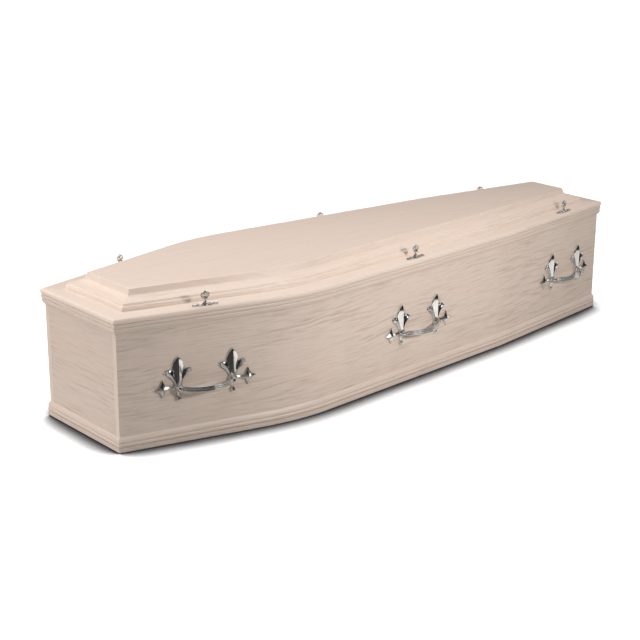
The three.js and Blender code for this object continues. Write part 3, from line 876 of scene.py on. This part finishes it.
class Casting:
    """Closed shells gathered into one mesh, in millimetres."""

    def __init__(self):
        self.points, self.faces = [], []

    def shell(self, rings, loop=False):
        first, count = len(self.points), len(rings[0])
        self.points += [Vector(p) for ring in rings for p in ring]
        spans = len(rings) if loop else len(rings) - 1
        for r in range(spans):
            a, b = first + r * count, first + ((r + 1) % len(rings)) * count
            for i in range(count):
                j = (i + 1) % count
                self.faces.append((a + i, a + j, b + j, b + i))
        if not loop:
            self.faces.append([first + i for i in range(count)][::-1])
            last = first + (len(rings) - 1) * count
            self.faces.append([last + i for i in range(count)])

    def leaf(self, stops, steps=5, section=RIDGE):
        """A tapering form along a curve. The stops are (x, y, half width, height)."""
        rings = []
        line = smooth_stops(stops, steps)
        for i, (x, y, half, height) in enumerate(line):
            before, after = line[max(i - 1, 0)], line[min(i + 1, len(line) - 1)]
            run = Vector((after[0] - before[0], after[1] - before[1])).normalized()
            half, height = max(half, 0.15), max(height, 0.3)
            rings.append([(x + run.y * half * a, y - run.x * half * a, height * b) for a, b in section])
        self.shell(rings)

    def roof_leaf(self, stops, way=(0, 1), across_at=0.0, steps=5):
        """A leaf cut from a ridged roof, so each flank faces one way from its root to its tip. The
        stops are (distance along the ridge, half width, ridge height)."""
        along = Vector(way).normalized()
        across = Vector((along.y, -along.x))
        rings = []
        for run, half, ridge in smooth_stops(stops, steps):
            half = max(half, 0.2)
            ring = []
            for i, share in enumerate(ROOF):
                out = abs(share) * half
                up = max(ridge - ROOF_FALL * out + ROOF_HOLLOW * out * out, ROOF_EDGE)
                if i in (0, len(ROOF) - 1):
                    up = 0.0
                if i in (1, len(ROOF) - 2):
                    up *= EDGE_EASE
                spot = along * run + across * (share * half + across_at)
                ring.append((spot.x, spot.y, up))
            rings.append(ring)
        self.shell(rings)

    def turned(self, profile, centre=(0, 0, 0), sides=24):
        """A profile of (radius, height) spun round an upright axis."""
        rings = []
        for radius, height in profile:
            ring = []
            for k in range(sides):
                angle = 2 * math.pi * k / sides
                a, b = max(radius, 0.02) * math.cos(angle), max(radius, 0.02) * math.sin(angle)
                ring.append([c + p for c, p in zip(centre, (a, b, height))])
            rings.append(ring)
        self.shell(rings)

    def ball(self, centre, radius, sides=12):
        angles = [math.pi * i / (sides // 2) for i in range(sides // 2 + 1)]
        self.turned([(radius * math.sin(a), -radius * math.cos(a)) for a in angles], centre, sides)

    def rope(self, line, radius, sides=8, loop=False, normal=Vector((0, 0, 1))):
        """A round rod along a line. The radius can change from point to point."""
        line = [Vector(p) for p in line]
        radii = radius if isinstance(radius, list) else [radius] * len(line)
        rings = []
        for i, p in enumerate(line):
            before = line[i - 1] if i or loop else line[0]
            after = line[(i + 1) % len(line)] if i + 1 < len(line) or loop else line[-1]
            run = (after - before).normalized()
            across = run.cross(normal).normalized()
            over = across.cross(run)
            ring = []
            for k in range(sides):
                angle = 2 * math.pi * k / sides
                ring.append(p + (across * math.cos(angle) + over * math.sin(angle)) * radii[i])
            rings.append(ring)
        self.shell(rings, loop=loop)

    def placed(self, name, matrix, material, flip=False):
        points = [matrix @ (p * MM) for p in self.points]
        faces = [list(f)[::-1] for f in self.faces] if flip else self.faces
        uvs = [[(0, 0)] * len(f) for f in faces]
        return new_piece(name, points, faces, uvs, [material], smooth_angle=42)


print("ridged section", len(RIDGE), "points")

# %% [markdown]
# ## A handle plate
# The plate is a fleur-de-lis: a tall leaf, a hooked petal on each side, a small lily that points
# along the wall and ends in a four-pointed star, and a stem below with a round fixing knob. All grow
# out of a boss with a ring of beads round a ball, which carries the bar. One casting serves all twelve
# plates, and half of them are its mirror image.

# %% The plate's casting
BALL = 7.5
BALL_OUT = 14.0
BEADS = 12
BEAD_RING = 10.4
STAR_OUT = 44.5
KNOB_DOWN = 30.0


def plate_casting():
    made = Casting()
    leaf = [(4, 6.5, 10), (14, 7.2, 10.6), (24, 8.8, 10.8), (34, 11.4, 10.8), (43, 14.6, 10.8)]
    leaf += [(52, 17.4, 10.8), (60, 16.8, 10.8), (67, 14, 10.6), (74, 9.6, 9.8), (80, 4.8, 8.4)]
    leaf.append((84, 0.3, 6.6))
    made.roof_leaf(leaf)
    horn = [(7, 10, 3, 6), (10, 19, 4.4, 6.6), (14, 28, 6.6, 7.4), (19, 36, 9, 8.4), (25, 42, 9.6, 8.6)]
    horn += [(30, 45, 6.6, 7.6), (34, 45.4, 3.8, 6), (37, 43, 1.8, 4.4), (38, 39.5, 0.3, 3)]
    for side in (1, -1):
        made.leaf([(side * x, y, half, height) for x, y, half, height in horn])
    arm = [(8, 7.4, 8), (15, 5.4, 7.2), (22, 4.4, 7), (29, 5, 7.6), (35, 7.4, 9), (40, 11, 10.4)]
    arm += [(STAR_OUT, 14, 11), (49, 10.6, 10.4), (54, 7, 9), (60, 3.8, 7), (67, 0.3, 4)]
    made.roof_leaf(arm, way=(1, 0), steps=4)
    point = [(2, 13, 10.6), (7, 9, 9.4), (12, 5.8, 7.8), (18, 2.9, 5.8), (24, 0.3, 3.4)]
    for side in (1, -1):
        made.roof_leaf(point, way=(0, side), across_at=side * STAR_OUT, steps=4)
    made.turned([(0, 0), (13, 0), (13, 3), (12, 5.4), (9.4, 6), (8.4, 8), (6.6, 9.5), (6, 11), (0, 11)])
    for k in range(BEADS):
        angle = 2 * math.pi * (k + 0.5) / BEADS
        made.ball((BEAD_RING * math.cos(angle), BEAD_RING * math.sin(angle), 6.2), 2.5, 12)
    made.ball((0, 0, BALL_OUT), BALL, 24)
    made.leaf([(0, -9, 6.5, 7), (0, -16, 4.4, 6.4), (0, -21, 3.6, 5.6), (0, -26, 4.4, 5)], steps=4)
    knob = [(0, 0), (6.8, 0), (6.8, 3.6), (6.0, 5.6), (4.8, 6.5), (3.6, 6.3), (2.7, 5), (2.4, 2), (0, 2)]
    made.turned(knob, (0, -KNOB_DOWN, 0))
    return made


PLATE = plate_casting()
print("plate", len(PLATE.faces), "faces")

# %% [markdown]
# ## The bar
# The bar is a bowed grip with three reeds on its face, held between the two balls by small collars. Its
# section is a row of three half-rounds with a low back, turned square to the arc at every station.

# %% The bar's casting
PLATE_SPACING = 154.0
BAR_ANGLE = math.radians(42)
BAR_HEIGHT = 15.4
BAR_DEPTH = 7.6


def bar_section():
    """Three round reeds with deep quirks between them, on a low back."""
    points = []
    reed = BAR_HEIGHT / 6
    for k in (-1, 0, 1):
        proud = 0.86 if k else 1.0
        for i in range(9):
            angle = math.pi * (0.04 + 0.92 * i / 8)
            out = BAR_DEPTH / 2 * (-0.1 + 1.1 * proud * math.sin(angle))
            points.append((out, 2 * reed * k - reed * math.cos(angle)))
    back, half = -BAR_DEPTH * 0.3, BAR_HEIGHT * 0.42
    return points + [(back, half), (-BAR_DEPTH * 0.42, 0.0), (back, -half)]


def bar_casting():
    made = Casting()
    gap = BALL + 0.3
    half_span = PLATE_SPACING / 2 - gap * math.cos(BAR_ANGLE)
    radius = half_span / math.sin(BAR_ANGLE)
    centre = BALL_OUT + gap * math.sin(BAR_ANGLE) - radius * math.cos(BAR_ANGLE)

    def on_arc(angle, out, up):
        reach = radius + out
        return (reach * math.sin(angle), up, centre + reach * math.cos(angle))

    section = bar_section()
    stations = 40
    rings = []
    for i in range(stations + 1):
        angle = BAR_ANGLE * (2 * i / stations - 1)
        rings.append([on_arc(angle, out, up) for out, up in section])
    made.shell(rings)
    for side in (1, -1):
        line = [on_arc(side * (BAR_ANGLE - a), 0, 0) for a in (0.0, 0.006, 0.012, 0.02, 0.026)]
        made.rope(line, [4.0, 5.4, 5.8, 5.0, 3.6], 20, normal=Vector((0, 1, 0)))
    return made


BAR = bar_casting()
print("bar", len(BAR.faces), "faces")

# %% [markdown]
# ## Handles on the box
# Three handles stand on each side, one on each straight stretch of it, all at one height. They are
# placed by a frame on the wall, so a handle follows the slant of its stretch. The left side is the
# right one mirrored.

# %% Place the handles
HANDLE_HEIGHT = 0.157
STATIONS = {
    "head": (0, (CORNERS[1] - CORNERS[0]).length - 0.277),
    "middle": (1, 0.487),
    "foot": (2, (CORNERS[3] - CORNERS[2]).length - 0.194),
}


def on_side(side, stretch, length, out, height):
    """A frame on a side of the box: X along the wall, Y up and Z outwards."""
    p = CORNERS[stretch] + ALONG[stretch] * length + OUTWARDS[stretch] * out
    along, outwards = ALONG[stretch].to_3d(), OUTWARDS[stretch].to_3d()
    place = Vector((p.x, p.y, height))
    if side == "left":
        along, outwards, place = (Vector((v.x, -v.y, v.z)) for v in (along, outwards, place))
        along = -along
    turn = Matrix((along, Vector((0, 0, 1)), outwards)).transposed().to_4x4()
    return Matrix.Translation(place) @ turn


def handle(side, station):
    stretch, length = STATIONS[station]
    wall = on_side(side, stretch, length, 0.0003, HANDLE_HEIGHT)
    bar = BAR.placed(f"reeded_bar_{side}_{station}", wall, NICKEL)
    dress(bar, "nickel_handles", f"handle_bar_{side}_{station}")
    footward = 1 if side == "right" else -1
    for way in (1, -1):
        end = "footward" if way == footward else "headward"
        shift = Matrix.Translation((way * PLATE_SPACING / 2 * MM, 0, 0)) @ Matrix.Diagonal((way, 1, 1, 1))
        plate = PLATE.placed(f"fleur_plate_{side}_{station}_{end}", wall @ shift, NICKEL, flip=way < 0)
        dress(plate, "nickel_handles", f"handle_plate_{side}_{station}_{end}")


for side in ("right", "left"):
    for station in STATIONS:
        handle(side, station)
print("handles", sum(n.startswith("reeded_bar") for n in pieces_made))

# %% [markdown]
# ## Thumbscrews and their plates
# Each lid screw stands in a cast plate on the border: a bell in the middle, scrolled arms on both
# sides, and a round boss with a dimpled screw at each end. The thumbscrew has a bead and a slim neck,
# a small cup, and an openwork thumb piece with a point, like a little crown. The openwork is made of
# rods swept along curves, because that is how it reads: light shows through between them.

# %% The screw plate's casting
SOCKET_UP = 9.0
SCROLL_OUT, SCROLL_RADIUS = 15.5, 5.0
BOSS_OUT, BOSS_RADIUS = 29.8, 5.4
ROD = 1.45


def screw_plate_casting():
    made = Casting()
    bell = [(3.9, 0), (9, 0), (9, 1.6), (8.6, 3.4), (6.6, 6), (5.4, 8), (5.0, SOCKET_UP), (3.9, SOCKET_UP)]
    made.turned(bell, sides=28)
    arm = [(5, 3.4), (11, 2.4), (15, 2.2), (20, 2.2), (26, 2.4), (30, 3)]
    boss = [(0, 0), (4.6, 0), (4.6, 1.6), (3.8, 3.0), (2.2, 3.5), (1.2, 2.9), (0, 2.7)]
    scroll = [(8, 4, 1.6), (11, 7.4, 1.8), (14.5, 8.6, 1.8), (17.5, 7.6, 1.8), (18.4, 5.6, 1.6)]
    for side in (1, -1):
        made.leaf([(side * x, 0, half, 2.0) for x, half in arm], section=FLAT)
        for x, radius in ((SCROLL_OUT, SCROLL_RADIUS), (BOSS_OUT, BOSS_RADIUS)):
            angles = [2 * math.pi * k / 20 for k in range(20)]
            ring = [(side * x + radius * math.cos(a), radius * math.sin(a), 1.7) for a in angles]
            made.rope(ring, ROD, 8, loop=True)
        made.turned(boss, (side * BOSS_OUT, 0, 0), 18)
        made.ball((side * SCROLL_OUT, 0, 2.0), 2.6, 12)
        made.ball((side * 22.8, 0, 2.0), 2.2, 10)
        for across in (1, -1):
            curl = [(side * x, across * y, z) for x, y, z in scroll]
            made.rope(smooth_stops(curl, 4), 1.2, 7)
    return made


SCREW_PLATE = screw_plate_casting()
print("screw plate", len(SCREW_PLATE.faces), "faces")

# %% [markdown]
# ## The thumbscrew
# The screw itself is turned: a shank that goes through the lid into the wall, a bead, a neck and a
# cup. The crown on it is half an outline drawn as stops, mirrored and closed to a ring of rod, with a
# mullion up its middle, a curl in each half and small beads where they touch.

# %% The thumbscrew's casting
SHANK = [(0, -30), (2.4, -30), (2.4, 8.4)]
BEAD_AND_NECK = [(3.4, 10), (3.4, 11), (2.2, 12.6), (2.0, 15)]
CUP = [(3.6, 16.8), (6.8, 18.6), (7.3, 20), (6.4, 21), (4.6, 20.2), (0, 20)]
CROWN = [(0, 21), (5, 21.2), (9.2, 23.2), (11.3, 27), (10.8, 31), (7.8, 33.4), (4.4, 34.2), (2, 35.6)]
CROWN_TIP = (0, 38.4)
CROWN_CURL = [(0.8, 22.5), (4.5, 24.5), (6.6, 28), (4.6, 31), (1.2, 33)]


def thumbscrew_casting():
    made = Casting()
    upright = Vector((0, 1, 0))
    made.turned(SHANK + BEAD_AND_NECK + CUP, sides=24)
    ogee = smooth_stops([*CROWN, CROWN_TIP], 4)
    outline = [(x, 0, z) for x, z in ogee] + [(-x, 0, z) for x, z in ogee[-2:0:-1]]
    made.rope(outline, 1.55, 9, loop=True, normal=upright)
    made.rope([(0, 0, z) for z in (19, 24, 30, 36)], [1.6, 1.2, 1.2, 1.6], 9, normal=upright)
    made.ball((0, 0, 28), 2.5, 12)
    made.ball((0, 0, 38.2), 1.5, 10)
    for side in (1, -1):
        curl = [(side * x, 0, z) for x, z in CROWN_CURL]
        made.rope(smooth_stops(curl, 4), 1.0, 7, normal=upright)
        made.ball((side * 11.4, 0, 28.6), 1.7, 10)
    return made


THUMBSCREW = thumbscrew_casting()
print("thumbscrew", len(THUMBSCREW.faces), "faces")

# %% [markdown]
# ## Screws on the lid
# The photograph shows that the thumbscrews don't stand exactly over the handles, and on the far side
# they stand well off them and are screwed further down. Each shift is along the wall, towards the foot.

# %% Place the screws
SCREW_SHIFT = {
    "right": {"head": 0.007, "middle": -0.010, "foot": -0.006},
    "left": {"head": 0.047, "middle": 0.051, "foot": -0.045},
}
SCREWED_DOWN = 0.008


def on_border(side, station):
    """A frame on the border over the middle of the wall: X along the wall, Z up."""
    stretch, length = STATIONS[station]
    length += SCREW_SHIFT[side][station]
    wall = on_side(side, stretch, length, -WALL / 2, BORDER_TOP)
    return wall @ Matrix.Rotation(-math.pi / 2, 4, "X")


for side in ("right", "left"):
    for station in STATIONS:
        spot = on_border(side, station)
        plate = SCREW_PLATE.placed(f"scrolled_plate_{side}_{station}", spot, NICKEL)
        dress(plate, "nickel_screws", f"screw_plate_{side}_{station}")
        lower = SCREWED_DOWN if side == "left" else 0.0
        down = Matrix.Translation((0, 0, -lower))
        thumb = THUMBSCREW.placed(f"crown_screw_{side}_{station}", spot @ down, NICKEL)
        dress(thumb, "nickel_screws", f"thumbscrew_{side}_{station}")
print("faces in all", sum(len(p.data.polygons) for p in pieces_made.values()))

# %% [markdown]
# ## Light on wood and on metal
# The panels that light the wood would show in the polished metal as hard white patches, so they light
# the wood and the floor only. The metal gets cards of its own: large panels of even brightness that it
# mirrors as calm bright areas.

# %% Cards for the metal
FITTINGS = ("reeded_bar", "fleur", "scrolled", "crown")
fittings = [piece for name, piece in pieces_made.items() if name.startswith(FITTINGS)]
wooden = [p for p in pieces_made.values() if p not in fittings]
wooden += [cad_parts["end_board_head"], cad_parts["end_board_foot"]]
for stand in WOOD_LIGHTS:
    light_only(stand, FLOOR, *wooden)


def card(name, brightness, size, place, target):
    """A panel that the metal mirrors at this brightness, whatever its size."""
    power = brightness * math.pi * size[0] * size[1]
    light_only(soft_panel(name, power, size, place, target), *fittings)


card("side_card", 2.2, (0.9, 0.5), (0.25, -1.8, 1.25), (0.05, -0.25, 0.2))
card("overhead_card", 1.4, (1.8, 1.8), (-0.6, 0.3, 2.4), (-0.3, 0.0, 0.3))
card("head_card", 1.2, (1.2, 1.2), (-3.2, 0.5, 0.8), (-0.96, 0.0, 0.2))
card("foot_card", 1.0, (1.6, 1.2), (3.2, -0.6, 1.2), (0.8, -0.2, 0.2))
print("fittings", len(fittings), "wooden pieces", len(wooden))
